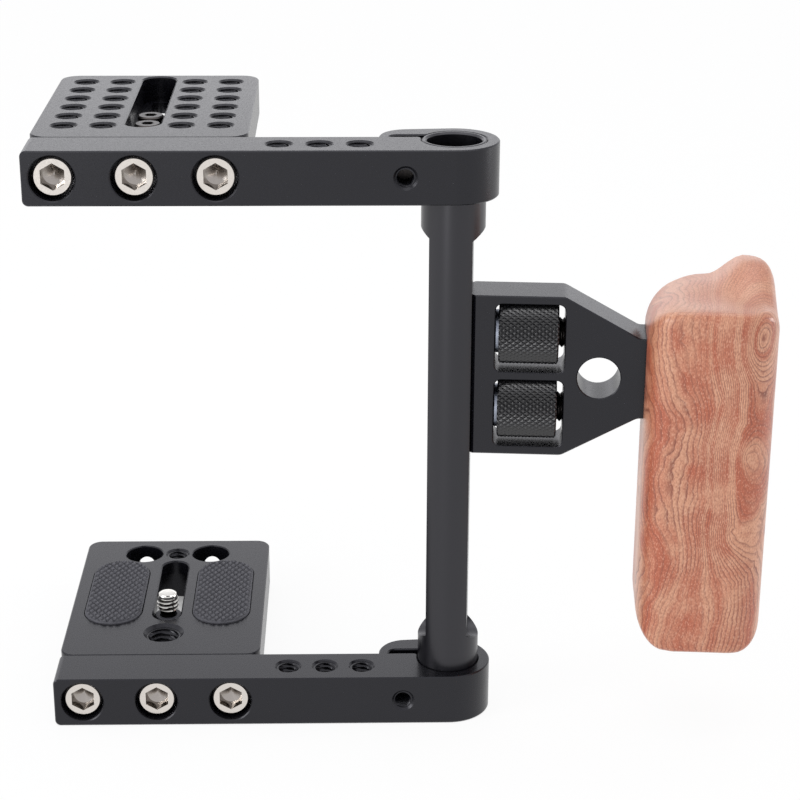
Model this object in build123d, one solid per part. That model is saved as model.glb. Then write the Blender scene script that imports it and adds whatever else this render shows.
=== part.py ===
from build123d import *
import os

# Camera cage: two square-bar arms clamped to a flatted round rod, a slotted plate on each
# arm, and a wooden side grip on a bracket that two thumbscrews hold to the rod.
#
# Frame, in millimetres: origin on the axis of the tripod socket, in the underside of the
# bottom plate. +X runs along the arms towards the grip, +Y from the arms towards the back
# edge of the plates, +Z up.

os.makedirs("parts", exist_ok=True)

# ---- overall sizes
cage_height = 159.6  # underside of the bottom arm to the top of the top arm
plate_width = 55.0  # both plates, along X
rod_pitch = 106.6  # left end of an arm to the rod's axis
post_turn = 4.6  # degrees that the rod and its grip are swung towards the front

# ---- fits
running_gap = 0.05  # radial, a shaft that turns or slides in its hole
seat_gap = 0.3  # round soft or loose pieces in their pockets
edge_break = 0.3  # chamfer on every machined outer edge

# ---- thread sizes, as major radius
quarter_inch = 3.175
three_eighths_inch = 4.76
m4, m5, m6, m8 = 2.0, 2.5, 3.0, 4.0

# ---- heads of the M5 screws, in the clamps and in the grip
m5_head_radius, m5_head_height = 4.25, 5.0
m5_hex, m5_hex_depth = 4.0, 2.5

# ---- arms
bar_size = 14.0  # height and depth of the square bar
ring_radius = 11.4  # outside of the clamp ring
clamp_slot = 2.3  # width of the saw cut that lets the ring close
clamp_slot_round = 2.2  # at the closed end, on the ear's side
clamp_mouth_round = 1.2  # where the cut meets the bore
clamp_chamfer = 0.35  # round the top and bottom of the bore and of the cut
clamp_web = 2.6  # solid end of the clamp, where the cut stops
clamp_length = 18.8  # rod's axis to the outside of that end
ear_corner = 7.5  # outer corner of the clamp's ear
ear_rake = 1.4  # its back leans in by this much from the ring to the free end
arm_end_radius = 1.5
arm_tapped_offsets = (63.0, 73.0, 83.0)  # from the arm's left end
clamp_screw_offset = 94.2
clamp_spot = 3.3  # from the back of the ring to the seat of the clamp screw's head
clamp_screw_short = 7.2  # its tip stops this far behind the arm's front face
clamp_hole_chamfer = 0.6
mouth_chamfer = 0.45  # countersink of the tapped holes

# ---- screws that hold a plate to its arm
screw_margin = 7.5  # from the side of the plate to the first screw
screw_pitch = 20.0
screw_count = 3
cap_head_radius, cap_head_height = 5.0, 6.0
cap_hex, cap_hex_depth = 6.0, 3.0  # across flats
cap_recess_radius = 5.7
cap_sunk = 2.0  # head below the arm's front face
cap_length = 12.0  # under the head
cap_hole_spare = 1.5  # blind hole past the screw's tip

# ---- upright rod
rod_radius = 8.2
rod_flat_left, rod_flat_right = 5.85, 5.15  # axis to each milled flat
rod_cutter = 10.0  # radius of the run-out at each end of a flat
lower_collar = 7.6  # round stretch above the bottom arm
upper_collar = 8.4  # round stretch below the top arm
rod_wall, rod_bore_depth = 1.2, 18.0  # around the bore in its top
rod_bore_chamfer = 0.5

# ---- top plate
top_depth = 70.5  # along Y
top_thickness = 10.0
top_rib = 8.0  # thick front edge that takes the arm's screws, along Y
top_corner = 5.0
grid_columns = (-20.0, -10.0, 10.0, 20.0)
grid_first_row = 12.4  # from the plate's front edge
grid_pitch = 10.0
grid_rows = 6
top_slot_width = 9.3
top_slot_start, top_slot_end = 10.5, 69.2  # from the plate's front edge
top_slot_ledge = 6.9  # depth of the ledge that carries the screw heads
top_slot_through = 4.5  # width below the ledge

# ---- bottom plate
bottom_depth = 73.5
bottom_thickness = 12.4
bottom_corner = 4.0
socket_setback = 13.0  # plate's front edge to the tripod socket
socket_chamfer = 0.9
bottom_slot_width = 7.8
bottom_slot_start, bottom_slot_end = 20.75, 59.1
bottom_slot_lip = 4.2  # thickness that the camera screw's head bears on
bottom_pocket_width = 11.6
bottom_pocket_spread = 1.2  # pocket longer than the slot, at each end
slot_chamfer = 0.4
cross_row = 64.3  # row of three holes near the back edge
cross_spacing = 20.0
cross_well_radius = 5.5
cross_hole_radius = 2.6
pad_width, pad_length = 16.2, 40.0
pad_offset = 15.4  # centre of a pad from the plate's middle
pad_centre = 38.0  # from the plate's front edge
pad_pocket, pad_proud = 1.2, 1.0

# ---- camera screw and its ring
camera_screw_place = 28.5  # from the plate's front edge
camera_thread_up = 4.8  # above the plate
camera_tip_chamfer = 0.75
camera_head_radius, camera_head_height = 5.5, 3.5
camera_neck_radius = 2.3
camera_hex, camera_hex_depth = 4.0, 2.5
camera_ring_height, camera_ring_round = 2.1, 0.35

# ---- shoe foot under the top plate, and its two screws
shoe_screw_places = (26.4, 35.6)  # from the plate's front edge
shoe_head_radius, shoe_head_height = 3.5, 4.0
shoe_hex, shoe_hex_depth = 3.0, 2.0
shoe_screw_length = 8.0
shoe_block = (18.0, 22.0, 5.2)
shoe_tongue_length, shoe_tongue_height = 15.0, 2.5  # guide in the plate's slot
shoe_neck_width, shoe_neck_height = 12.3, 1.7
shoe_plate_width, shoe_plate_length, shoe_plate_height = 18.5, 18.0, 1.9

# ---- grip bracket
bracket_height = 99.05  # its middle above the cage's underside
bracket_thickness = 12.0
bracket_half = 21.65  # half its height at the rod
shoulder_run = 23.7  # from the rod's flat to the start of the slope
neck_run = 43.05  # from the rod's flat to the neck
neck_half = 10.9
neck_length = 1.6  # bare neck between the slope and the wood
mortise = 3.0  # how far the neck is let into the wood
bracket_bend = 3.0
bracket_end_break = 1.0  # chamfer on its upright edges beside the rod
window_width, window_height = 17.8, 18.35
window_radius = 1.8
window_run = 15.0  # from the rod's flat to the windows' middle
window_pitch = 20.5
strap_hole_radius = 5.55
strap_hole_run = 32.85
hole_break = 0.25

# ---- thumbscrews
wheel_side_gap = 0.85  # between the knurl and the window's upper and lower edges
wheel_travel = 1.6  # room to back a wheel off
wheel_chamfer = 0.4
boss_radius = 5.6
boss_length = 0.85  # wheel to window wall when it is tight
stud_engagement = 2.0  # in the rod
stud_end_gap = 1.3  # blind hole past the stud's tip
stud_tail = 3.0  # in the bracket's far wall
stud_chamfer = 0.5

# ---- wooden grip and its screws
grip_width = 33.0
grip_reach_front, grip_reach_back = 16.5, 18.5  # from the bracket's middle
grip_foot = 25.9  # lowest point, above the cage's underside
grip_height = 96.4  # to the front edge of the top
grip_horn = 4.5  # rise of the rear outer corner above that
grip_front_corner, grip_rear_corner = 9.0, 13.0
grip_lower_inner, grip_lower_outer = 10.0, 6.5
grip_upper_inner = 9.0
grip_horn_width = 6.0  # flat stretch on top of the horn, along X
grip_horn_slope = 9.0  # from there down to the level top, along X
grip_horn_depth = 14.0  # flat stretch on top of the horn, along Y
grip_horn_bends = (9.0, 4.0, 4.0)  # radii from the level top to the outer side
mortise_gap = 0.1
grip_screw_half = 6.0  # half the distance between the two screws
grip_screw_length = 30.0
grip_screw_engagement = 8.0
grip_screw_spare = 1.0  # blind hole past the screw's tip
washer_radius, washer_hole_radius, washer_thickness = 5.0, 2.65, 1.0
grip_bore_radius = 5.3

# ---- places that follow from the sizes
cage_floor = bottom_thickness - bar_size
cage_top = cage_floor + cage_height
top_arm_floor = cage_top - bar_size
top_plate_floor = cage_top - top_thickness
plate_front = -socket_setback
arm_front = plate_front - bar_size
arm_left = -plate_width / 2
bar_middle = arm_front + bar_size / 2
bar_back = arm_front + bar_size
rod_x = arm_left + rod_pitch
rod_y = arm_front + ring_radius
clamp_screw_x = arm_left + clamp_screw_offset
ear_back = arm_front + 2 * ring_radius
clamp_seat_y = ear_back - clamp_spot
rod_bore_radius = rod_radius - rod_wall
rod_flat_x = rod_x + rod_flat_right
bracket_middle = cage_floor + bracket_height
bracket_length = neck_run + neck_length + mortise
bracket_end_x = rod_flat_x + bracket_length
window_near_x = rod_flat_x + window_run - window_width / 2
window_far_x = window_near_x + window_width
wheel_radius = window_height / 2 - wheel_side_gap
wheel_width = window_width - boss_length - wheel_travel
window_heights = [bracket_middle + side * window_pitch / 2 for side in (1, -1)]
grip_left = bracket_end_x - mortise
grip_right = grip_left + grip_width
grip_floor = cage_floor + grip_foot
grip_level = grip_floor + grip_height
grip_peak = grip_level + grip_horn
grip_front, grip_back = rod_y - grip_reach_front, rod_y + grip_reach_back
grip_depth = grip_back - grip_front
grip_screw_heights = [bracket_middle + side * grip_screw_half for side in (1, -1)]
grip_screw_seat = bracket_end_x - grip_screw_engagement + grip_screw_length
grip_bore_floor = grip_screw_seat - washer_thickness
screw_stations = [arm_left + screw_margin + i * screw_pitch for i in range(screw_count)]
hex_corner = 3**0.5  # across flats to across corners is 2 / this


def peg(radius, length, x, y, z, direction):
    """Cylinder that starts at a point and runs along a direction."""
    return Plane(origin=(x, y, z), z_dir=direction) * Cylinder(
        radius, length, align=(Align.CENTER, Align.CENTER, Align.MIN)
    )


def cone(r_start, r_end, length, x, y, z, direction):
    """Cone that starts at a point and runs along a direction."""
    return Plane(origin=(x, y, z), z_dir=direction) * Cone(
        r_start, r_end, length, align=(Align.CENTER, Align.CENTER, Align.MIN)
    )


def block(x0, x1, y0, y1, z0, z1):
    """Box between two corners."""
    return Pos((x0 + x1) / 2, (y0 + y1) / 2, (z0 + z1) / 2) * Box(x1 - x0, y1 - y0, z1 - z0)


def tapped(radius, depth, chamfer, x, y, z, direction):
    """Cutter for a hole with a countersunk mouth, from its mouth inwards."""
    return peg(radius, depth, x, y, z, direction) + cone(
        radius + chamfer, radius, chamfer, x, y, z, direction
    )


def long_hole(width, x, y0, y1, z0, z1):
    """Cutter for a slot along Y with round ends, between two heights."""
    middle = Location((x, (y0 + y1) / 2, z0), (0, 0, 90))
    return extrude(middle * SlotOverall(y1 - y0, width), z1 - z0)


def long_chamfer(width, chamfer, x, y0, y1, z_top):
    """Cutter for the broken upper edge of a slot along Y."""
    middle = (y0 + y1) / 2
    lower = Location((x, middle, z_top - chamfer), (0, 0, 90)) * SlotOverall(y1 - y0, width)
    upper = Location((x, middle, z_top), (0, 0, 90)) * SlotOverall(
        y1 - y0 + 2 * chamfer, width + 2 * chamfer
    )
    return loft([lower.face(), upper.face()])


def break_outline(solid, size):
    """Chamfers the outline of the top and bottom faces."""
    faces = solid.faces().sort_by(Axis.Z)
    return chamfer(faces[0].edges() + faces[-1].edges(), size)


def socket_screw(thread, length, head_radius, head_height, hex_size, hex_depth, seat, direction):
    """Socket cap screw: seat is the point under its head, direction is where it points."""
    back = Vector(direction) * -1
    x, y, z = seat
    screw = peg(thread, length, x, y, z, direction)
    head = peg(head_radius, head_height, x, y, z, back)
    top = Vector(x, y, z) + back * head_height
    rim = head.edges().filter_by(GeomType.CIRCLE).sort_by(lambda e: (e.center() - top).length)[0]
    head = chamfer(rim, 0.4)
    flats = Plane(origin=top, z_dir=direction) * RegularPolygon(hex_size / hex_corner, 6)
    socket = extrude(flats, hex_depth)
    x, y, z = top + Vector(direction) * hex_depth
    drilled = cone(0.46 * hex_size, 0, 0.27 * hex_size, x, y, z, direction)
    return screw + head - socket - drilled


# Arms. Each is one bar with a ring clamp at its end: a saw cut runs from the bore along the
# back of the bar and stops at a web, so that a screw through the ear pulls the ring shut.
def make_arm(floor):
    web_x = rod_x - clamp_length
    bar = block(arm_left, rod_x, arm_front, bar_back, floor, floor + bar_size)
    end_edges = bar.edges().filter_by(Axis.Y).group_by(Axis.X)[0]
    bar = fillet(end_edges, arm_end_radius)
    ring = peg(ring_radius, bar_size, rod_x, rod_y, floor, (0, 0, 1))
    ear_plan = Polygon(
        (web_x, bar_middle), (rod_x, bar_middle), (rod_x, ear_back), (web_x, ear_back - ear_rake),
        align=None,
    )
    ear = Pos(0, 0, floor) * extrude(ear_plan, bar_size)
    corner = ear.edges().filter_by(Axis.Z).group_by(Axis.X)[0].sort_by(Axis.Y)[-1]
    ear = fillet(corner, ear_corner)
    arm = break_outline(bar + ring + ear, edge_break)

    slot_back = bar_back + clamp_slot
    slot = block(web_x + clamp_web, rod_x, bar_back, slot_back, floor, floor + bar_size)
    closed_end = slot.edges().filter_by(Axis.Z).group_by(Axis.X)[0].sort_by(Axis.Y)[-1]
    slot = fillet(closed_end, clamp_slot_round)
    arm -= slot + peg(rod_radius + running_gap, bar_size, rod_x, rod_y, floor, (0, 0, 1))
    lip = (rod_x - rod_radius, bar_back, floor + bar_size / 2)
    arm = fillet(arm.edges().filter_by(Axis.Z).sort_by_distance(lip)[0], clamp_mouth_round)
    inside = rod_radius + running_gap + 0.1
    for level in (floor, floor + bar_size):
        rims = [
            edge for edge in arm.edges()
            if abs(edge.center().Z - level) < 0.01 and edge.bounding_box().size.Z < 0.01
            and (
                Vector(edge @ 0.5 - Vector(rod_x, rod_y, level)).length < inside
                or (bar_back - 0.01 < edge.center().Y < slot_back + 0.01
                    and web_x + clamp_web - 0.1 < edge.center().X < rod_x - rod_radius + 2)
            )
        ]
        arm = chamfer(rims, clamp_chamfer)

    middle = floor + bar_size / 2
    for x in screw_stations:
        recess = cap_sunk + cap_head_height
        arm -= peg(cap_recess_radius, recess, x, arm_front, middle, (0, 1, 0))
        arm -= cone(
            cap_recess_radius + edge_break, cap_recess_radius, edge_break,
            x, arm_front, middle, (0, 1, 0),
        )
        arm -= peg(m6 + seat_gap, bar_size, x, arm_front, middle, (0, 1, 0))
    for offset in arm_tapped_offsets:
        arm -= tapped(
            quarter_inch, bar_size, mouth_chamfer,
            arm_left + offset, bar_middle, floor + bar_size, (0, 0, -1),
        )
    x = clamp_screw_x
    arm -= tapped(m5, bar_size, clamp_hole_chamfer, x, arm_front, middle, (0, 1, 0))
    arm -= peg(m5 + seat_gap, ear_back - bar_back, x, bar_back, middle, (0, 1, 0))
    arm -= peg(m5_head_radius + seat_gap, clamp_spot, x, clamp_seat_y, middle, (0, 1, 0))
    return arm


def make_clamp_screw(floor):
    """Closes a ring clamp: its head bears on the ear, and its thread is in the bar."""
    return socket_screw(
        m5 - running_gap, clamp_seat_y - arm_front - clamp_screw_short,
        m5_head_radius, m5_head_height, m5_hex, m5_hex_depth,
        (clamp_screw_x, clamp_seat_y, floor + bar_size / 2), (0, -1, 0),
    )


def make_plate_screw(x, floor):
    """Holds a plate's front edge to its arm."""
    seat = (x, arm_front + cap_sunk + cap_head_height, floor + bar_size / 2)
    return socket_screw(
        m6 - running_gap, cap_length, cap_head_radius, cap_head_height, cap_hex, cap_hex_depth,
        seat, (0, 1, 0),
    )


def plate_blank(depth, corner, floor, thickness):
    """Flat plate behind an arm, with round corners and broken edges."""
    outline = Pos(0, plate_front + depth / 2) * RectangleRounded(plate_width, depth, corner)
    return break_outline(Pos(0, 0, floor) * extrude(outline, thickness), edge_break)


def screw_wells(arm_floor):
    """Blind holes for the arm's screws in a plate's front edge."""
    depth = cap_sunk + cap_head_height + cap_length - bar_size + cap_hole_spare
    middle = arm_floor + bar_size / 2
    return [peg(m6, depth, x, plate_front, middle, (0, 1, 0)) for x in screw_stations]


# Rod. Turned round, with a flat milled on each side between two full-round collars, and
# bored at the top. The cutter leaves a round run-out at each end of a flat.
def make_rod():
    rod = peg(rod_radius, cage_height, rod_x, rod_y, cage_floor, (0, 0, 1))
    rod = chamfer(rod.edges().filter_by(GeomType.CIRCLE), edge_break)
    low, high = bottom_thickness + lower_collar, top_arm_floor - upper_collar
    for side, reach in ((-1, rod_flat_left), (1, rod_flat_right)):
        flat = Plane(
            origin=(rod_x + side * reach, rod_y, (low + high) / 2),
            x_dir=(0, 0, 1), z_dir=(side, 0, 0),
        )
        rod -= extrude(flat * SlotOverall(high - low, 2 * rod_cutter), rod_radius)
    rod -= tapped(
        rod_bore_radius, rod_bore_depth, rod_bore_chamfer, rod_x, rod_y, cage_top, (0, 0, -1)
    )
    for z in window_heights:
        rod -= peg(
            m8 + running_gap, stud_engagement + stud_end_gap,
            rod_flat_x, rod_y, z, (-1, 0, 0),
        )
    return rod


# Top plate. Thin over most of its depth, with a thick front edge for the arm's screws.
def make_top_plate():
    plate = plate_blank(top_depth, top_corner, top_plate_floor, top_thickness)
    rib = plate_blank(top_depth, top_corner, top_arm_floor, bar_size)
    rib &= block(
        arm_left, -arm_left, plate_front, plate_front + top_rib, top_arm_floor, top_plate_floor + 1
    )
    plate += rib
    for well in screw_wells(top_arm_floor):
        plate -= well
    for x in grid_columns:
        for row in range(grid_rows):
            y = plate_front + grid_first_row + row * grid_pitch
            plate -= tapped(quarter_inch, bar_size, mouth_chamfer, x, y, cage_top, (0, 0, -1))
    start, end = plate_front + top_slot_start, plate_front + top_slot_end
    ledge = cage_top - top_slot_ledge
    inset = (top_slot_width - top_slot_through) / 2
    plate -= long_hole(top_slot_width, 0, start, end, ledge, cage_top)
    plate -= long_chamfer(top_slot_width, slot_chamfer, 0, start, end, cage_top)
    plate -= long_hole(top_slot_through, 0, start + inset, end - inset, top_plate_floor, ledge)
    return plate


# Bottom plate. Its top is level with the arm's. The camera screw's slot is narrow at the top
# and wide below, where the screw's head runs.
def make_bottom_plate():
    plate = plate_blank(bottom_depth, bottom_corner, 0, bottom_thickness)
    for well in screw_wells(cage_floor):
        plate -= well
    top = bottom_thickness
    plate -= tapped(three_eighths_inch, top, socket_chamfer, 0, 0, top, (0, 0, -1))
    start, end = plate_front + bottom_slot_start, plate_front + bottom_slot_end
    spread = bottom_pocket_spread
    plate -= long_hole(bottom_slot_width, 0, start, end, 0, top)
    plate -= long_chamfer(bottom_slot_width, slot_chamfer, 0, start, end, top)
    plate -= long_hole(
        bottom_pocket_width, 0, start - spread, end + spread, 0, top - bottom_slot_lip
    )
    y = plate_front + cross_row
    plate -= tapped(quarter_inch, top, mouth_chamfer, 0, y, top, (0, 0, -1))
    for x in (-cross_spacing / 2, cross_spacing / 2):
        plate -= tapped(cross_well_radius, top, edge_break, x, y, top, (0, 0, -1))
        plate -= peg(cross_hole_radius, bottom_depth - cross_row, x, y, top / 2, (0, 1, 0))
    for side in (-1, 1):
        plate -= long_hole(
            pad_width + 2 * seat_gap, side * pad_offset,
            plate_front + pad_centre - pad_length / 2 - seat_gap,
            plate_front + pad_centre + pad_length / 2 + seat_gap,
            top - pad_pocket, top,
        )
    return plate


def make_pad(side):
    """Rubber pad let into the bottom plate, a little proud of it."""
    return long_hole(
        pad_width, side * pad_offset,
        plate_front + pad_centre - pad_length / 2,
        plate_front + pad_centre + pad_length / 2,
        bottom_thickness - pad_pocket, bottom_thickness + pad_proud,
    )


# Camera screw. Its head hangs under the slot's lip, and the ring on its neck keeps it up.
def make_camera_screw():
    y = plate_front + camera_screw_place
    top = bottom_thickness
    lip = top - bottom_slot_lip
    screw = peg(camera_head_radius, camera_head_height, 0, y, lip, (0, 0, -1))
    screw = chamfer(screw.edges().filter_by(GeomType.CIRCLE).sort_by(Axis.Z)[0], edge_break)
    screw += peg(camera_neck_radius, bottom_slot_lip, 0, y, lip, (0, 0, 1))
    thread = peg(quarter_inch, camera_thread_up, 0, y, top, (0, 0, 1))
    screw += chamfer(thread.edges().filter_by(GeomType.CIRCLE).sort_by(Axis.Z)[-1], camera_tip_chamfer)
    flats = Pos(0, y, lip - camera_head_height) * RegularPolygon(camera_hex / hex_corner, 6)
    return screw - extrude(flats, camera_hex_depth)


def make_camera_ring():
    """Rubber ring in the screw's neck, a close fit between the sides of the slot."""
    radius = bottom_slot_width / 2 - running_gap
    inner = camera_neck_radius + running_gap
    z = bottom_thickness - bottom_slot_lip + running_gap
    y = plate_front + camera_screw_place
    ring = peg(radius, camera_ring_height, 0, y, z, (0, 0, 1))
    ring -= peg(inner, camera_ring_height, 0, y, z, (0, 0, 1))
    return fillet(ring.edges().filter_by(GeomType.CIRCLE), camera_ring_round)


# Shoe foot. A block under the top plate with a tongue in the slot and a flat foot below.
def make_shoe_foot():
    width, length, height = shoe_block
    y = plate_front + sum(shoe_screw_places) / 2
    floor = top_plate_floor - height
    foot = block(-width / 2, width / 2, y - length / 2, y + length / 2, floor, top_plate_floor)
    foot = chamfer(foot.edges().filter_by(Axis.Z), 1.0)
    guide = top_slot_through / 2 - running_gap
    guide_top = top_plate_floor + shoe_tongue_height
    reach = shoe_tongue_length / 2
    foot += block(-guide, guide, y - reach, y + reach, top_plate_floor, guide_top)
    neck = shoe_neck_width / 2
    half = shoe_plate_length / 2
    foot += block(-neck, neck, y - half, y + half, floor - shoe_neck_height, floor)
    low = floor - shoe_neck_height - shoe_plate_height
    wing = block(
        -shoe_plate_width / 2, shoe_plate_width / 2, y - half, y + half,
        low, low + shoe_plate_height,
    )
    foot += chamfer(wing.edges().filter_by(Axis.Z), 0.8)
    for place in shoe_screw_places:
        foot -= peg(m4, shoe_screw_length, 0, plate_front + place, guide_top, (0, 0, -1))
    return foot


def make_shoe_screw(place):
    """Clamps the shoe foot up against the top plate."""
    return socket_screw(
        m4 - running_gap, shoe_screw_length,
        shoe_head_radius, shoe_head_height, shoe_hex, shoe_hex_depth,
        (0, plate_front + place, cage_top - top_slot_ledge), (0, 0, -1),
    )


# Grip bracket. A flat plate on edge, with a window for each thumbwheel and one round hole.
def make_bracket():
    face = Plane(
        origin=(rod_flat_x, rod_y, bracket_middle), x_dir=(1, 0, 0), z_dir=(0, -1, 0)
    )
    upper = [
        (0, bracket_half), (shoulder_run, bracket_half),
        (neck_run, neck_half), (bracket_length, neck_half),
    ]
    lower = [(run, -height) for run, height in reversed(upper)]
    half = bracket_thickness / 2
    plate = extrude(face * Polygon(*upper, *lower, align=None), half, both=True)
    bends = [
        edge for edge in plate.edges().filter_by(Axis.Y)
        if 1 < edge.center().X - rod_flat_x < bracket_length - 1
    ]
    plate = fillet(bends, bracket_bend)
    sides = plate.faces().sort_by(Axis.Y)
    outline = [
        edge for edge in sides[0].edges() + sides[-1].edges()
        if edge.center().X - rod_flat_x > 1
    ]
    plate = chamfer(outline, edge_break)
    upright = plate.edges().filter_by(Axis.Z).group_by(Axis.X)[0]
    plate = chamfer(upright, bracket_end_break)

    for z in window_heights:
        place = Pos(window_run, z - bracket_middle)
        window = place * RectangleRounded(window_width, window_height, window_radius)
        rim = place * RectangleRounded(
            window_width + 2 * hole_break, window_height + 2 * hole_break, window_radius + hole_break
        )
        plate -= extrude(face.offset(-half) * window, bracket_thickness)
        for side in (-1, 1):
            outer = face.offset(side * half) * rim
            inner = face.offset(side * (half - hole_break)) * window
            plate -= loft([outer.face(), inner.face()])
        hole = m8 + running_gap
        plate -= peg(hole, window_run, rod_flat_x, rod_y, z, (1, 0, 0))
        plate -= peg(hole, stud_tail + wheel_travel + seat_gap, window_far_x, rod_y, z, (1, 0, 0))

    x = rod_flat_x + strap_hole_run
    for side in (-1, 1):
        plate -= tapped(
            strap_hole_radius, half, hole_break,
            x, rod_y + side * half, bracket_middle, (0, -side, 0),
        )
    for z in grip_screw_heights:
        depth = grip_screw_engagement + grip_screw_spare
        plate -= peg(m5, depth, bracket_end_x, rod_y, z, (-1, 0, 0))
    return plate


def make_wheel(z):
    """Knurled thumbwheel, with a boss that bears on the window's near wall."""
    x = window_near_x + boss_length
    wheel = peg(wheel_radius, wheel_width, x, rod_y, z, (1, 0, 0))
    wheel = chamfer(wheel.edges().filter_by(GeomType.CIRCLE), wheel_chamfer)
    wheel += peg(boss_radius, boss_length, window_near_x, rod_y, z, (1, 0, 0))
    return wheel - peg(m8 + running_gap, window_width, window_near_x, rod_y, z, (1, 0, 0))


def make_stud(z):
    """Threaded stud locked in its wheel: one end in the rod, the other in the far wall."""
    start, end = rod_flat_x - stud_engagement, window_far_x + stud_tail
    stud = peg(m8, end - start, start, rod_y, z, (1, 0, 0))
    return chamfer(stud.edges().filter_by(GeomType.CIRCLE), stud_chamfer)


# Wooden grip. Flat front, round back, with a horn at the rear outer corner of the top, a
# mortise for the bracket's neck, and two counterbores for the screws.
def make_grip():
    middle_x = (grip_left + grip_right) / 2
    plan = Pos(middle_x, rod_y) * Rectangle(grip_width, grip_depth)
    plan = fillet(plan.vertices().group_by(Axis.Y)[-1], grip_rear_corner)
    plan = fillet(plan.vertices().group_by(Axis.Y)[0], grip_front_corner)
    body = Pos(0, 0, grip_floor) * extrude(plan, grip_peak - grip_floor)

    horn_x = grip_right - grip_horn_width
    foot_of_horn = horn_x - grip_horn_slope
    rounded = {
        (grip_left, grip_floor): grip_lower_inner,
        (grip_right, grip_floor): grip_lower_outer,
        (grip_right, grip_peak): grip_horn_bends[2],
        (horn_x, grip_peak): grip_horn_bends[1],
        (foot_of_horn, grip_level): grip_horn_bends[0],
        (grip_left, grip_level): grip_upper_inner,
    }
    outline = Polygon(*rounded, align=None)
    for corner, radius in rounded.items():
        outline = fillet(outline.vertices().sort_by_distance(corner)[0], radius)
    elevation = Plane(origin=(0, grip_front, 0), x_dir=(1, 0, 0), z_dir=(0, -1, 0))
    body &= extrude(elevation * outline, -grip_depth)

    profile = Plane(origin=(grip_left, 0, 0), x_dir=(0, 1, 0), z_dir=(1, 0, 0))
    side = Polygon(
        (grip_front, grip_floor), (grip_back, grip_floor), (grip_back, grip_peak),
        (grip_back - grip_horn_depth, grip_peak), (grip_front, grip_level), align=None,
    )
    body &= extrude(profile * side, grip_width)

    half_depth, half_height = bracket_thickness / 2 + mortise_gap, neck_half + mortise_gap
    body -= block(
        grip_left - 1, bracket_end_x, rod_y - half_depth, rod_y + half_depth,
        bracket_middle - half_height, bracket_middle + half_height,
    )
    for z in grip_screw_heights:
        body -= peg(m5 + seat_gap, grip_width, grip_left, rod_y, z, (1, 0, 0))
        body -= peg(grip_bore_radius, grip_width, grip_bore_floor, rod_y, z, (1, 0, 0))
    return body


def make_grip_screw(z):
    """Draws the wood against the end of the bracket's neck."""
    return socket_screw(
        m5 - running_gap, grip_screw_length, m5_head_radius, m5_head_height, m5_hex, m5_hex_depth,
        (grip_screw_seat, rod_y, z), (-1, 0, 0),
    )


def make_washer(z):
    """Spreads a grip screw's load on the wood."""
    x = grip_bore_floor
    washer = peg(washer_radius, washer_thickness, x, rod_y, z, (1, 0, 0))
    return washer - peg(washer_hole_radius, washer_thickness, x, rod_y, z, (1, 0, 0))


pieces = {
    "bottom_arm": make_arm(cage_floor),
    "top_arm": make_arm(top_arm_floor),
    "bottom_clamp_screw": make_clamp_screw(cage_floor),
    "top_clamp_screw": make_clamp_screw(top_arm_floor),
    "upright_rod": make_rod(),
    "top_plate": make_top_plate(),
    "bottom_plate": make_bottom_plate(),
    "left_pad": make_pad(-1),
    "right_pad": make_pad(1),
    "camera_screw": make_camera_screw(),
    "camera_screw_ring": make_camera_ring(),
    "shoe_foot": make_shoe_foot(),
    "shoe_screw_front": make_shoe_screw(shoe_screw_places[0]),
    "shoe_screw_rear": make_shoe_screw(shoe_screw_places[1]),
    "grip_bracket": make_bracket(),
    "wooden_grip": make_grip(),
}
for number, x in enumerate(screw_stations, 1):
    pieces[f"bottom_plate_screw_{number}"] = make_plate_screw(x, cage_floor)
    pieces[f"top_plate_screw_{number}"] = make_plate_screw(x, top_arm_floor)
for name, z in zip(("upper", "lower"), window_heights):
    pieces[f"{name}_thumbwheel"] = make_wheel(z)
    pieces[f"{name}_stud"] = make_stud(z)
for name, z in zip(("upper", "lower"), grip_screw_heights):
    pieces[f"{name}_grip_screw"] = make_grip_screw(z)
    pieces[f"{name}_grip_washer"] = make_washer(z)

# The rod and everything on it are drawn along +X, then swung about the rod's axis.
swing = Pos(rod_x, rod_y) * Rot(0, 0, -post_turn) * Pos(-rod_x, -rod_y)
swung = ("upright_rod", "grip_bracket", "wooden_grip", "upper_", "lower_")
for node, shape in pieces.items():
    if node.startswith(swung):
        shape = swing * shape
    export_step(shape, f"parts/{node}.step")
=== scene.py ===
from math import cos, pi, radians, sin, sqrt, tau

import bmesh
import bpy
from mathutils import Matrix, Vector


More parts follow.
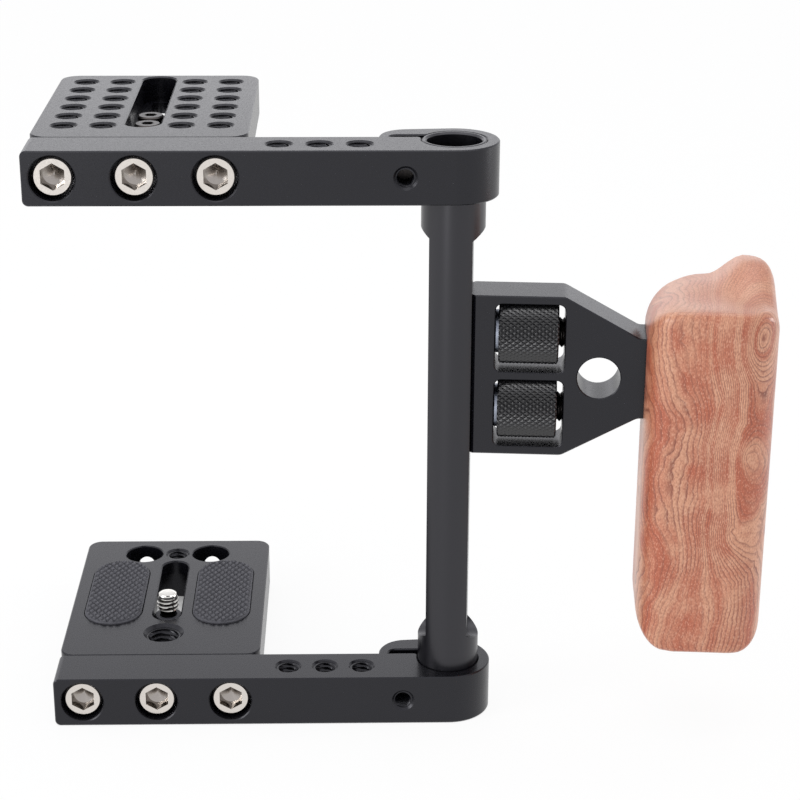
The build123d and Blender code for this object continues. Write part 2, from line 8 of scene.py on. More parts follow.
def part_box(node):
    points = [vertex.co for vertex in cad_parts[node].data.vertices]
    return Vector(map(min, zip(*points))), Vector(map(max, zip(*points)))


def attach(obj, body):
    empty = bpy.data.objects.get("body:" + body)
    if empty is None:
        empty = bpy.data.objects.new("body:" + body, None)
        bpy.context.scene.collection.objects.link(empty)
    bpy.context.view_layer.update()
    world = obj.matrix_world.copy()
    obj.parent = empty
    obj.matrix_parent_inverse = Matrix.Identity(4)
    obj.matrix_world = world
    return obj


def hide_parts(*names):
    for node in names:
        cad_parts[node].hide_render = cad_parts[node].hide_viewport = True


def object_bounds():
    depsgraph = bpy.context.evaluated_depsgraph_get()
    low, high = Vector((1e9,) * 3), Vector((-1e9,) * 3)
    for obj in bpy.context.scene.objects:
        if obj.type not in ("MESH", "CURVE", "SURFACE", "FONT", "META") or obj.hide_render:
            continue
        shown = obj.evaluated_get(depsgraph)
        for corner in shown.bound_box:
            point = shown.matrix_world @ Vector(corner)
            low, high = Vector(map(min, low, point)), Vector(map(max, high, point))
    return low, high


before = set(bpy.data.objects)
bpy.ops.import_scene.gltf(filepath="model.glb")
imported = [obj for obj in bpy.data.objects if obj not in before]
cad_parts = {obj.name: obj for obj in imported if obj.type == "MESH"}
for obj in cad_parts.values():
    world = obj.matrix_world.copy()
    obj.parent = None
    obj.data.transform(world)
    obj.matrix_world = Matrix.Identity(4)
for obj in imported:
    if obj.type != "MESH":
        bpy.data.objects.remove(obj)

cad_box = [list(corner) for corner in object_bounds()]

# ---------------------------------------------------------------- camera
# A long lens in front and a little above, from where the arms run nearly level and both plates
# show their tops.
mm = 0.001
camera_place = (54.26, -522.75, 285.93)  # mm
turn, tilt, roll = 0.0227, 0.3716, 0.0040  # radians to the right, down, and about the lens's axis
lens_data = bpy.data.cameras.new("camera")
lens_data.lens, lens_data.sensor_width = 93.76, 36
lens_data.clip_start, lens_data.clip_end = 0.01, 50
camera = bpy.data.objects.new("camera", lens_data)
bpy.context.collection.objects.link(camera)
camera.matrix_world = (
    Matrix.Translation(Vector(camera_place) * mm)
    @ Matrix.Rotation(-turn, 4, "Z")
    @ Matrix.Rotation(pi / 2 - tilt, 4, "X")
    @ Matrix.Rotation(roll, 4, "Z")
)
bpy.context.scene.camera = camera


# ---------------------------------------------------------------- studio
# A white floor in a white room, under soft boxes. The floor is painted, and also glows for the
# rays that show it, so that it stays white behind the cage. The glow fades where something
# stands close over it, which leaves the cage its contact shadow.
def linear(code):
    """An sRGB hex colour such as 1f1f22 as the linear colour that shaders use."""
    channels = [int(code[i : i + 2], 16) / 255 for i in (0, 2, 4)]
    return [c / 12.92 if c <= 0.04045 else ((c + 0.055) / 1.055) ** 2.4 for c in channels] + [1]


def add(tree, kind, sockets=(), **settings):
    """Adds a shader node. A socket takes a plain value or another node's output."""
    made = tree.nodes.new(kind)
    for name, value in settings.items():
        setattr(made, name, value)
    for socket, value in dict(sockets).items():
        if isinstance(value, bpy.types.NodeSocket):
            tree.links.new(value, made.inputs[socket])
        else:
            made.inputs[socket].default_value = value
    return made


def new_material(name, **surface):
    """A material with one Principled shader; surface sets that shader's plain values."""
    made = bpy.data.materials.new(name)
    made.use_nodes = True
    tree = made.node_tree
    shader = tree.nodes["Principled BSDF"]
    for socket, value in surface.items():
        shader.inputs[socket.replace("_", " ")].default_value = value
    return made, tree, shader


def shown_ray(tree):
    """1 for the rays that show a surface: camera, mirror and glass rays."""
    path = add(tree, "ShaderNodeLightPath")
    shown = path.outputs["Is Camera Ray"]
    for ray in ("Is Glossy Ray", "Is Transmission Ray"):
        shown = add(tree, "ShaderNodeMath", {0: shown, 1: path.outputs[ray]}, operation="MAXIMUM").outputs[0]
    return shown


floor_level = cad_box[0][2]
sweep = bmesh.new()
bmesh.ops.create_grid(sweep, x_segments=1, y_segments=1, size=6)  # metres to each edge
bmesh.ops.translate(sweep, verts=sweep.verts, vec=(0, 0, floor_level))
floor = bpy.data.objects.new("floor", bpy.data.meshes.new("floor"))
sweep.to_mesh(floor.data)
sweep.free()
bpy.context.collection.objects.link(floor)

paint = bpy.data.materials.new("white_sweep_paint")
paint.use_nodes = True
tree = paint.node_tree
tree.nodes.remove(tree.nodes["Principled BSDF"])
matt = add(tree, "ShaderNodeBsdfDiffuse", {"Color": linear("f4f4f4")})
glow = add(tree, "ShaderNodeEmission", {"Color": linear("ffffff"), "Strength": 1.02})
clearance = add(tree, "ShaderNodeAmbientOcclusion", {"Distance": 30 * mm}, samples=8)
open_floor = add(
    tree, "ShaderNodeMapRange",
    {"Value": clearance.outputs["AO"], "From Min": 0.1, "From Max": 0.45, "To Min": 0.2, "To Max": 0.9},
)
share = add(tree, "ShaderNodeMath", {0: shown_ray(tree), 1: open_floor.outputs[0]}, operation="MULTIPLY")
both = add(tree, "ShaderNodeMixShader", {0: share.outputs[0], 1: matt.outputs[0], 2: glow.outputs[0]})
tree.links.new(both.outputs[0], tree.nodes["Material Output"].inputs["Surface"])
floor.data.materials.append(paint)

world = bpy.data.worlds.new("white_room")
bpy.context.scene.world = world
world.use_nodes = True
tree = world.node_tree
level = add(tree, "ShaderNodeMapRange", {"Value": shown_ray(tree), "To Min": 0.55, "To Max": 1.0})
tree.links.new(level.outputs[0], tree.nodes["Background"].inputs["Strength"])
tree.nodes["Background"].inputs["Color"].default_value = (1, 1, 1.04, 1)  # a trace of blue


def soft_box(name, place, aim, width, height, power):
    """Rectangular lamp at a place, facing a point, both in metres."""
    lamp = bpy.data.lights.new(name, "AREA")
    lamp.shape, lamp.size, lamp.size_y, lamp.energy = "RECTANGLE", width, height, power
    holder = bpy.data.objects.new(name, lamp)
    bpy.context.collection.objects.link(holder)
    holder.location = place
    holder.rotation_euler = (Vector(aim) - Vector(place)).to_track_quat("-Z", "Y").to_euler()


# Wide boxes overhead and behind light the tops, the left box the fronts, and the small right box
# and the strip draw streaks on the rod, the clamp rings and the wheels.
middle = (0.06, 0.0, 0.08)  # of the cage, in metres
soft_box("overhead_box", (0.03, 0.1, 0.95), middle, 1.0, 0.8, 3.0)
soft_box("back_box", (0.02, 1.2, 0.38), middle, 1.4, 0.4, 0.9)
soft_box("left_box", (-0.9, -0.45, 0.45), middle, 0.45, 0.7, 4)
soft_box("right_box", (1.1, 0.12, 0.16), middle, 0.22, 0.3, 2.6)
soft_box("front_strip", (-0.42, -1.1, 0.14), middle, 0.12, 0.26, 2.6)
bpy.context.scene.view_settings.view_transform = "Standard"


# ---------------------------------------------------------------- arms, plates, bracket and shoe foot
# Machined aluminium, bead-blasted and black anodised: a dark satin skin, a little blue, that
# turns pale grey where it is seen at a low angle. The blasting leaves a fine even grain.
def object_place(tree, turned_by=0.0):
    """Object coordinates in millimetres, turned about Z."""
    metres = add(tree, "ShaderNodeTexCoord").outputs["Object"]
    sockets = {"Vector": metres, "Rotation": (0, 0, turned_by), "Scale": [1 / mm] * 3}
    return add(tree, "ShaderNodeMapping", sockets).outputs[0]


def finish(material, *names):
    """Gives CAD nodes a material."""
    for name in names:
        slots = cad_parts[name].data.materials
        slots.clear()
        slots.append(material)


blast_grain = 0.35  # mm between pits, drawn coarser than real so that it shows
dye_cloud = 18  # mm across a darker or paler patch of the dye
anodised, tree, shader = new_material(
    "bead_blasted_black_anodised_aluminium", Base_Color=linear("0d0d10"), Roughness=0.28, IOR=1.46,
    Specular_Tint=(0.93, 0.93, 1.0, 1),
)
where = object_place(tree)
grain = add(tree, "ShaderNodeTexNoise", {"Vector": where, "Scale": 1 / blast_grain, "Detail": 2})
cloud = add(tree, "ShaderNodeTexNoise", {"Vector": where, "Scale": 1 / dye_cloud, "Detail": 3})
dye = add(
    tree, "ShaderNodeMix", {"Factor": cloud.outputs[0], 6: linear("08080c"), 7: linear("0f0f14")},
    data_type="RGBA",
)
tree.links.new(dye.outputs[2], shader.inputs["Base Color"])
satin = add(
    tree, "ShaderNodeMapRange",
    {"Value": grain.outputs[0], "From Min": 0.3, "From Max": 0.7, "To Min": 0.22, "To Max": 0.34},
)
tree.links.new(satin.outputs[0], shader.inputs["Roughness"])
pits = add(tree, "ShaderNodeBump", {"Height": grain.outputs[0], "Strength": 0.012, "Distance": 0.02 * mm})
tree.links.new(pits.outputs[0], shader.inputs["Normal"])
finish(anodised, "top_arm", "bottom_arm", "top_plate", "bottom_plate", "grip_bracket", "shoe_foot")


# ---------------------------------------------------------------- tapped holes
# The quarter-inch holes of the plates and arms, the three-eighths socket and the clamp holes are
# tapped through. The CAD holes are plain at the thread's outer diameter, and a thin threaded
# lining, anodised as the rest is, stands on their walls.
def wrap(shape, rows, columns, place):
    """A sheet of rows by columns cells, each corner sent to place(row, column)."""
    grid = bmesh.ops.create_grid(shape, x_segments=columns, y_segments=rows, size=0.5)
    for vert in grid["verts"]:
        column, row = round((vert.co.x + 0.5) * columns), round((vert.co.y + 0.5) * rows)
        vert.co = place(row, column)


def new_piece(name, shape, body, material, smooth=False):
    """Closes a bmesh's seams and makes it an object that rides on a body."""
    bmesh.ops.remove_doubles(shape, verts=shape.verts, dist=1e-7)
    bmesh.ops.dissolve_degenerate(shape, edges=shape.edges, dist=1e-8)
    bmesh.ops.recalc_face_normals(shape, faces=shape.faces)
    for face in shape.faces:
        face.smooth = smooth
    made = bpy.data.objects.new(name, bpy.data.meshes.new(name))
    shape.to_mesh(made.data)
    shape.free()
    bpy.context.collection.objects.link(made)
    made.data.materials.append(material)
    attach(made, body)
    return made


def ridge(turns):
    """0 in a thread's groove and 1 on its crest, for a place along it in turns."""
    return abs(2 * (turns % 1) - 1)


def lining(shape, radius, pitch, bottom, top, place):
    """Threaded wall of a tapped hole between two depths along it."""
    around, steps = 24, int((top - bottom) / (pitch / 4))
    wall_gap, skin, thread_depth = 0.02, 0.04, 0.5 * pitch

    def point(row, column):
        angle = tau * column / around
        level = bottom + (top - bottom) * min(max(row - 1, 0), steps) / steps
        reach = radius - wall_gap
        if 1 <= row <= steps + 1:
            reach -= skin + thread_depth * ridge(level / pitch - column / around)
        return place(reach * cos(angle), reach * sin(angle), level)

    wrap(shape, steps + 3, around, lambda row, column: point(0 if row == steps + 3 else row, column))


def upright(x, y):
    """Places a shape's own point beside an upright axis at x, y, in millimetres."""
    return lambda a, b, level: Vector((x + a, y + b, level)) * mm


def level_in_arm(x, z):
    """Places a shape's own point beside an axis that runs from the front to the back of an arm."""
    return lambda a, b, y: Vector((x + a, y, z + b)) * mm


quarter_inch, quarter_pitch = 3.175, 1.27  # radius and pitch of each thread, in mm
three_eighths, three_eighths_pitch = 4.76, 1.5875
clamp_thread, clamp_pitch = 2.5, 0.8
mouth, wide_mouth = 0.5, 0.95  # plain countersinks above the threads
foot = 0.2  # plain end below them
top_plate_low, top_plate_top, bottom_plate_top, arm_thick, arm_middle = 148, 158, 12.4, 14, -20
hole_columns, hole_rows = (-20, -10, 10, 20), [-0.6 + 10 * row for row in range(6)]
arm_holes, clamp_x, clamp_front, clamp_back, cross_hole = (35.5, 45.5, 55.5), 66.7, -26.3, -20.2, 51.3
low, top = top_plate_low + foot, top_plate_top - mouth
shape = bmesh.new()
for x in hole_columns:
    for y in hole_rows:
        lining(shape, quarter_inch, quarter_pitch, low, top, upright(x, y))
new_piece("top_plate_threads", shape, "top", anodised)
for body, name, floor_of_arm in (("top", "top_arm_threads", 144), ("base", "bottom_arm_threads", -1.6)):
    low, top = floor_of_arm + foot, floor_of_arm + arm_thick - mouth
    across_arm = level_in_arm(clamp_x, floor_of_arm + arm_thick / 2)
    shape = bmesh.new()
    for x in arm_holes:
        lining(shape, quarter_inch, quarter_pitch, low, top, upright(x, arm_middle))
    lining(shape, clamp_thread, clamp_pitch, clamp_front, clamp_back, across_arm)
    new_piece(name, shape, body, anodised)
shape = bmesh.new()
lining(shape, three_eighths, three_eighths_pitch, foot, bottom_plate_top - wide_mouth, upright(0, 0))
lining(shape, quarter_inch, quarter_pitch, foot, bottom_plate_top - mouth, upright(0, cross_hole))
new_piece("bottom_plate_threads", shape, "base", anodised)

# ---------------------------------------------------------------- upright rod
# Turned aluminium rod with two milled flats, black anodised without blasting: fine rings from
# the lathe, and a little more gloss than the arms.
lathe_rings = 1.2  # mm apart, drawn coarser than real so that they show
turned_black, tree, shader = new_material(
    "turned_black_anodised_aluminium", Base_Color=linear("0c0c10"), Roughness=0.3, IOR=1.58,
    Specular_Tint=(0.94, 0.93, 1.0, 1),
)
where = object_place(tree)
rings = add(
    tree, "ShaderNodeTexWave",
    {"Vector": where, "Scale": 1 / lathe_rings, "Distortion": 0.6, "Detail": 2}, bands_direction="Z",
)
tool_marks = add(
    tree, "ShaderNodeBump", {"Height": rings.outputs[0], "Strength": 0.04, "Distance": 0.02 * mm}
)
tree.links.new(tool_marks.outputs[0], shader.inputs["Normal"])
finish(turned_black, "upright_rod")

# ---------------------------------------------------------------- stainless screws and washers
# Socket cap screws and washers of turned stainless steel: bright and nearly colourless outside, with a
# little haze. Shade is painted into the colour behind the plate screws' head faces, duller and browner, down
# in the sockets and on the heads' sides.
plate_head_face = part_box("top_plate_screw_1")[0][1] / mm  # all six plate screws face the front here
haze_speck = 0.4  # mm
stainless, tree, shader = new_material(
    "turned_stainless_steel", Base_Color=linear("c4bfba"), Metallic=1.0, Roughness=0.2
)
where = object_place(tree)
speck = add(tree, "ShaderNodeTexNoise", {"Vector": where, "Scale": 1 / haze_speck, "Detail": 3})
sheen = add(
    tree, "ShaderNodeMapRange",
    {"Value": speck.outputs[0], "From Min": 0.3, "From Max": 0.7, "To Min": 0.14, "To Max": 0.26},
)
tree.links.new(sheen.outputs[0], shader.inputs["Roughness"])
depth = add(tree, "ShaderNodeSeparateXYZ", {0: where})
# painted shade: the colour turns duller and browner from 0.1 to 1.4 mm behind the plate screws' head faces
socket_painted_shade = add(
    tree, "ShaderNodeMapRange",
    {"Value": depth.outputs[1], "From Min": plate_head_face + 0.1, "From Max": plate_head_face + 1.4},
)
steel = add(
    tree, "ShaderNodeMix", {"Factor": socket_painted_shade.outputs[0], 6: linear("d8d2cc"), 7: linear("a29c96")},
    data_type="RGBA",
)
tree.links.new(steel.outputs[2], shader.inputs["Base Color"])
finish(
    stainless,
    *[f"{level}_plate_screw_{i}" for level in ("top", "bottom") for i in (1, 2, 3)],
    *[f"{level}_grip_screw" for level in ("upper", "lower")],
    *[f"{level}_grip_washer" for level in ("upper", "lower")],
)

# ---------------------------------------------------------------- black screws
# Clamp screws and shoe screws: hardened steel with a black oxide skin, thin enough to show
# brown specks where it is rubbed.
black_steel, tree, shader = new_material(
    "black_oxide_steel", Base_Color=linear("3a3a3c"), Metallic=1.0, Roughness=0.34
)
where = object_place(tree)
rubs = 1.1  # to a millimetre
rub = add(tree, "ShaderNodeTexNoise", {"Vector": where, "Scale": rubs, "Detail": 4})
oxide = add(
    tree, "ShaderNodeMix", {"Factor": rub.outputs[0], 6: linear("2b2b2e"), 7: linear("55504d")},
    data_type="RGBA",
)
tree.links.new(oxide.outputs[2], shader.inputs["Base Color"])
finish(black_steel, "shoe_screw_front", "shoe_screw_rear", "top_clamp_screw", "bottom_clamp_screw")

# ---------------------------------------------------------------- camera pads
# Two moulded rubber pads with raised slanting diamonds inside a plain rim, matt and slightly
# dusty, glued into the bottom plate. The camera screw's ring is of the same rubber.
rubber, tree, shader = new_material("moulded_rubber", Base_Color=linear("2c2c30"), Roughness=0.6, IOR=1.5)
where = object_place(tree)
dust_patch = 2.2  # mm
dust = add(tree, "ShaderNodeTexNoise", {"Vector": where, "Scale": 1 / dust_patch, "Detail": 4})
dusty = add(
    tree, "ShaderNodeMix", {"Factor": dust.outputs[0], 6: linear("3c3c42"), 7: linear("56565c")},
    data_type="RGBA",
)
tree.links.new(dusty.outputs[2], shader.inputs["Base Color"])
finish(rubber, "camera_screw_ring")
pad_half, pad_reach, pad_floor, pad_top = 8.1, 20.0, 11.2, 13.4
pad_middle = 25
diamond, slant, groove_depth = 2.0, 0.62, 0.6  # mm between the grooves, their lean, their depth
rim_width, rim_height, edge_round = 0.3, 0.4, 0.35  # the rim's height is a share of the diamonds'
cells_long, cells_wide = 150, 64
for name, x in (("left", -15.4), ("right", 15.4)):
    shape = bmesh.new()

    def point(row, column, x=x):
        along_pad = -pad_reach + 2 * pad_reach * row / cells_long
        into_end = max(0.0, abs(along_pad) - (pad_reach - pad_half))
        half = sqrt(max(0.0, pad_half**2 - into_end**2))
        across = half * (2 * column / cells_wide - 1)
        edge = pad_half - sqrt(across**2 + into_end**2)
        groove = min(ridge((across + lean * along_pad) / diamond) for lean in (slant, -slant))
        height = min(1.0, groove / 0.45) if edge > rim_width else rim_height
        level = pad_top - groove_depth * (1 - height) - max(0.0, edge_round - edge)
        return Vector((x + across, pad_middle + along_pad, level)) * mm

    wrap(shape, cells_long, cells_wide, point)
    bmesh.ops.remove_doubles(shape, verts=shape.verts, dist=1e-7)
    border = [edge for edge in shape.edges if edge.is_boundary]
    wall = bmesh.ops.extrude_edge_only(shape, edges=border)
    for item in wall["geom"]:
        if isinstance(item, bmesh.types.BMVert):
            item.co.z = pad_floor * mm
    under = [item for item in wall["geom"] if isinstance(item, bmesh.types.BMEdge)]
    bmesh.ops.contextual_create(shape, geom=under)
    pad = new_piece(f"{name}_textured_pad", shape, "base", rubber)
    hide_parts(f"{name}_pad")


# ---------------------------------------------------------------- camera screw
# Quarter-inch screw of bright plated steel with a domed button tip, its colour darker in its thread's roots
# below the tip.
# Its black head sits under the slot, and the socket is reached from below.
def thread_profile(low, high, pitch, radius):
    """Rows along an external thread, as (place, radius, share of thread) each."""
    steps = round((high - low) / (pitch / 6))
    return [(low + (high - low) * i / steps, radius, 1.0) for i in range(steps + 1)]


def turned(shape, profile, around, pitch, depth, place):
    """Revolved shape; a row with a share of thread is cut by that share of the depth."""

    def point(row, column):
        level, radius, share = profile[row]
        reach = radius - share * depth * (1 - ridge(level / pitch - column / around))
        return place(reach * cos(tau * column / around), reach * sin(tau * column / around), level)

    wrap(shape, len(profile) - 1, around, point)


screw_back = 15.5  # mm behind the large tapped hole
screw_thread_depth, haze_patch = 0.62, 0.625
plated, tree, shader = new_material(
    "bright_nickel_plated_steel", Base_Color=linear("dcdad4"), Metallic=1.0, Roughness=0.1
)
where = object_place(tree)
haze = add(tree, "ShaderNodeTexNoise", {"Vector": where, "Scale": 1 / haze_patch, "Detail": 3})
polish = add(tree, "ShaderNodeMapRange", {"Value": haze.outputs[0], "To Min": 0.05, "To Max": 0.16})
tree.links.new(polish.outputs[0], shader.inputs["Roughness"])
from_axis = add(
    tree, "ShaderNodeMapping", {"Vector": where, "Location": (0, -screw_back, 0), "Scale": (1, 1, 0)}
)
depth = add(tree, "ShaderNodeVectorMath", {0: from_axis.outputs[0]}, operation="LENGTH")
height = add(tree, "ShaderNodeSeparateXYZ", {0: where})
below_tip = add(tree, "ShaderNodeMath", {0: height.outputs[2], 1: 15.75}, operation="LESS_THAN")
root = add(tree, "ShaderNodeMapRange", {"Value": depth.outputs[1], "From Min": 3.1, "From Max": 2.8})
# the colour turns dark in the thread's roots, below the button tip
darker_thread_roots = add(tree, "ShaderNodeMath", {0: root.outputs[0], 1: below_tip.outputs[0]}, operation="MULTIPLY")
plating = add(
    tree, "ShaderNodeMix", {"Factor": darker_thread_roots.outputs[0], 6: linear("dcdad4"), 7: linear("2a2927")},
    data_type="RGBA",
)
tree.links.new(plating.outputs[2], shader.inputs["Base Color"])
shape = bmesh.new()
profile = [(7.2, 0, 0), (7.2, 2, 0), (4.7, 2, 0), (4.7, 5.1, 0)]  # socket, then the rim of the head
profile += [(4.8, 5.38, 0), (5.1, 5.5, 0), (8.0, 5.5, 0), (8.19, 5.3, 0), (8.19, 0, 0)]
turned(shape, profile, 48, 1, 0, upright(0, screw_back))
new_piece("camera_screw_head", shape, "camera_fastener", black_steel)
shape = bmesh.new()
profile = [(8.2, 0, 0), (8.2, 2.3, 0), (12.4, 2.3, 0), (12.45, 2.6, 0)]  # plain shank
profile += thread_profile(12.5, 15.55, quarter_pitch, quarter_inch)
profile += [(15.7, 2.5, 0), (15.9, 2.45, 0), (16.05, 2.6, 0), (16.7, 2.62, 0)]  # neck and button
profile += [(16.95, 2.5, 0), (17.12, 2.2, 0), (17.19, 1.6, 0), (17.2, 0, 0)]
turned(shape, profile, 48, quarter_pitch, screw_thread_depth, upright(0, screw_back))
camera_screw = new_piece("camera_fixing_screw", shape, "camera_fastener", plated)
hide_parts("camera_screw")

# ---------------------------------------------------------------- thumbscrews
# Two black knurled wheels in the bracket's windows, each locked on a black M8 stud, with a bare
# machined shoulder that bears on the window's near wall.
swing = radians(4.6)  # the rod and the grip stand turned about the rod's axis
rod_x, rod_y = 79.1, -15.6


def along(run, back, level):
    """Point of the swung grip: run from the rod's axis, distance behind the middle, height."""
    x = rod_x + run * cos(swing) + back * sin(swing)
    y = rod_y - run * sin(swing) + back * cos(swing)
    return Vector((x, y, level)) * mm


def lying(level):
    """Places a shape's own point round a level axis that runs out from the rod."""
    return lambda a, b, run: along(run, a, level + b)


handled_patch, facing_rings = 1.4, 0.5  # mm
knurled, tree, shader = new_material(
    "knurled_black_anodised_aluminium", Base_Color=linear("111114"), Roughness=0.3, IOR=1.65
)
where = object_place(tree)
wear = add(tree, "ShaderNodeTexNoise", {"Vector": where, "Scale": 1 / handled_patch, "Detail": 3})
patchy = add(tree, "ShaderNodeMapRange", {"Value": wear.outputs[0], "To Min": 0.2, "To Max": 0.36})
tree.links.new(patchy.outputs[0], shader.inputs["Roughness"])
bare, tree, shader = new_material(
    "bare_turned_aluminium", Base_Color=linear("9aa0ad"), Metallic=1.0, Roughness=0.42
)
where = object_place(tree, turned_by=swing)
lathe = add(
    tree, "ShaderNodeTexWave", {"Vector": where, "Scale": 1 / facing_rings, "Distortion": 0.3},
    bands_direction="X",
)
facing = add(
    tree, "ShaderNodeBump", {"Height": lathe.outputs[0], "Strength": 0.1, "Distance": 0.02 * mm}
)
tree.links.new(facing.outputs[0], shader.inputs["Normal"])

wheel_radius, wheel_near, wheel_far = 8.325, 12.1, 27.45
bore = 4.02
diamonds_round, diamonds_long, knurl_depth = 36, 8, 0.38
fine = 8  # cells to a diamond
for name, level in (("upper", 107.7), ("lower", 87.2)):
    shape = bmesh.new()
    knurl_near, knurl_far = wheel_near + 0.4, wheel_far - 0.4
    steps = fine * diamonds_long
    crown = wheel_radius - knurl_depth
    ends = (
        ((wheel_near, bore), (wheel_near, crown - 0.2)),
        ((wheel_far, crown - 0.2), (wheel_far, bore), (wheel_near, bore)),
    )

    def point(row, column, level=level):
        turn = column / (fine * diamonds_round)
        if row < 2:
            run, reach = ends[0][row]
        elif row > steps + 2:
            run, reach = ends[1][row - steps - 3]
        else:
            place = (row - 2) / fine
            run = knurl_near + (knurl_far - knurl_near) * (row - 2) / steps
            slant = turn * diamonds_round
            hill = min(1 - ridge(place + slant), 1 - ridge(place - slant))
            reach = wheel_radius - knurl_depth * (1 - min(1, 1.25 * hill))
        return lying(level)(reach * cos(tau * turn), reach * sin(tau * turn), run)

    wrap(shape, steps + 5, fine * diamonds_round, point)
    wheel = new_piece(f"{name}_knurled_wheel", shape, f"{name}_knob", knurled)
    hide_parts(f"{name}_thumbwheel")

    shape = bmesh.new()
    shoulder = [(11.25, bore, 0), (11.25, 5.45, 0), (11.4, 5.6, 0)]
    shoulder += [(12.09, 5.6, 0), (12.09, bore, 0), (11.25, bore, 0)]
    turned(shape, shoulder, 64, 1, 0, lying(level))
    new_piece(f"{name}_wheel_shoulder", shape, f"{name}_knob", bare)

    shape = bmesh.new()
    rod_end, tail, stud_radius, stud_root = 3.15, 32.05, 4.0, 3.2
    stud_pitch, stud_thread_depth = 1.25, 0.7
    profile = [(rod_end, 0, 0), (rod_end, stud_root, 0)]
    profile += thread_profile(rod_end + 0.3, tail - 0.3, stud_pitch, stud_radius)
    profile += [(tail, stud_root, 0), (tail, 0, 0)]
    turned(shape, profile, 32, stud_pitch, stud_thread_depth, lying(level))
    stud = new_piece(f"{name}_threaded_stud", shape, f"{name}_screw", black_steel)
    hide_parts(f"{name}_stud")

# ---------------------------------------------------------------- wooden grip
# Shaped and sanded from one block of a red-brown figured hardwood, under a satin lacquer. A
# mortise takes the bracket's neck, and two counterbores on the far side take the screws.
grip_near, grip_far = 49.8, 82.7
corners = (  # centre of each round corner of the plan, its half axes, and the angle it starts at
    (55.8, -7.5, 6, 9, 180), (73.7, -7.5, 9, 9, 270), (69.7, 5.5, 13, 13, 0), (62.8, 5.5, 13, 13, 90),
)
core = (66.3, 0.5)  # where the ends' rings of faces close
wood_edge = 2.0  # round of the top and bottom edges
steps_to_side, arc_steps = 15, 10  # columns to a corner and the side after it; its arc's share
columns = 4 * steps_to_side


def ease(value):
    """0 to 1 with level ends."""
    value = min(1.0, max(0.0, value))
    return value * value * (3 - 2 * value)


def bend(reach, radius):
    """Drop of a round of that radius, a reach into it."""
    reach = min(radius, max(0.0, reach))
    return radius - sqrt(radius**2 - reach**2)


def outline(column):
    """Run and distance back of the plan, at a column of the shape."""
    corner, step = divmod(column % columns, steps_to_side)

    def at(corner, step):
        run, back, half_run, half_back, start = corners[corner % 4]
        angle = radians(start + 90 * step / arc_steps)
        return run + half_run * cos(angle), back + half_back * sin(angle)

    if step <= arc_steps:
        return at(corner, step)
    first, then = at(corner, arc_steps), at(corner + 1, 0)
    share = (step - arc_steps) / (steps_to_side - arc_steps)
    return tuple(a + (b - a) * share for a, b in zip(first, then))


def grip_top(run, back):
    """Level at the front edge, hollow behind it, and rising to a horn at the far back."""
    hollow = 3.3 * ease((back + 12) / 30) * (1 - 0.73 * (run - grip_near) / 33)
    horn = (2.2 * ease((run - 51) / 13) + 5.1 * ease((run - 66) / 9.5)) * ease((back + 9) / 20)
    return 118.9 - hollow + horn - bend(grip_near + 7 - run, 7) - bend(run - grip_far + 5, 5)


def grip_floor(run):
    """Flat, with a large round on the near side and a smaller one on the far side."""
    return 24.3 + bend(grip_near + 10 - run, 10) + bend(run - grip_far + 6, 6)


cap_rings, round_rows, wall_rows = 7, 6, 44
grip_rows = 2 * (cap_rings + round_rows) + wall_rows


def grip_point(row, column):
    """Rows run from the middle of the floor out, up the wall and in to the middle of the top."""
    run, back = outline(column)
    radius = sqrt((run - core[0]) ** 2 + (back - core[1]) ** 2)
    near_end = min(row, grip_rows - row)
    if near_end <= cap_rings:
        inset, lift = (radius - wood_edge) * (1 - near_end / cap_rings) + wood_edge, 0.0
    elif near_end <= cap_rings + round_rows:
        angle = pi / 2 * (near_end - cap_rings) / round_rows
        inset, lift = wood_edge * (1 - sin(angle)), wood_edge * (1 - cos(angle))
    else:
        inset, lift = 0.0, wood_edge
    keep = 1 - inset / radius
    run, back = core[0] + (run - core[0]) * keep, core[1] + (back - core[1]) * keep
    low, high = grip_floor(run) + lift, grip_top(run, back) - lift
    share = min(1.0, max(0.0, (row - cap_rings - round_rows) / wall_rows))
    return along(run, back, low + (high - low) * share)


shape = bmesh.new()
wrap(shape, grip_rows, columns, grip_point)
bmesh.ops.remove_doubles(shape, verts=shape.verts, dist=1e-7)
bmesh.ops.recalc_face_normals(shape, faces=shape.faces)

# The hardwood, sanded and lacquered: thin dark growth lines that run up the grip and close into
# eyes near its far edge, on a ground that drifts from tan to red brown, with short pores all over.
# The lines are counted from the rod outwards, swayed by noise, with more of them round a knot.
lacquered, tree, shader = new_material(
    "lacquered_figured_hardwood", Base_Color=linear("c38871"), Roughness=0.42, Coat_Weight=0.45,
    Coat_Roughness=0.3,
)
ring_width = 1.3  # mm of growth in a year
wide_sway, small_sway, heartwood, worn_patch, pore = 19, 6, 9, 10, 0.32  # mm across each
lean_out = (1, 0.8, 0.6)  # the sway is longer up the grip than across it
drawn = (1, 0.7, 0.6)  # and so is a knot
knots = (  # place, reach and rings of each
    ((156, -26, 81), 12, 15), ((153, -26, 60), 9, 9), ((158, -26, 113), 14, 17),
)
where = object_place(tree, turned_by=swing)
drawn_out = add(tree, "ShaderNodeMapping", {"Vector": where, "Scale": lean_out})
sway = add(
    tree, "ShaderNodeTexNoise",
    {"Vector": drawn_out.outputs[0], "Scale": 1 / wide_sway, "Detail": 1.2, "Roughness": 0.4},
)
ripple = add(tree, "ShaderNodeTexNoise", {"Vector": where, "Scale": 1 / small_sway, "Detail": 2})
across = add(tree, "ShaderNodeSeparateXYZ", {0: where})
count = add(tree, "ShaderNodeMath", {0: across.outputs[0], 1: 1 / ring_width}, operation="MULTIPLY")
for noise, rings in ((sway, 14), (ripple, 2.0)):
    count = add(
        tree, "ShaderNodeMath", {0: noise.outputs[0], 1: rings, 2: count.outputs[0]},
        operation="MULTIPLY_ADD",
    )
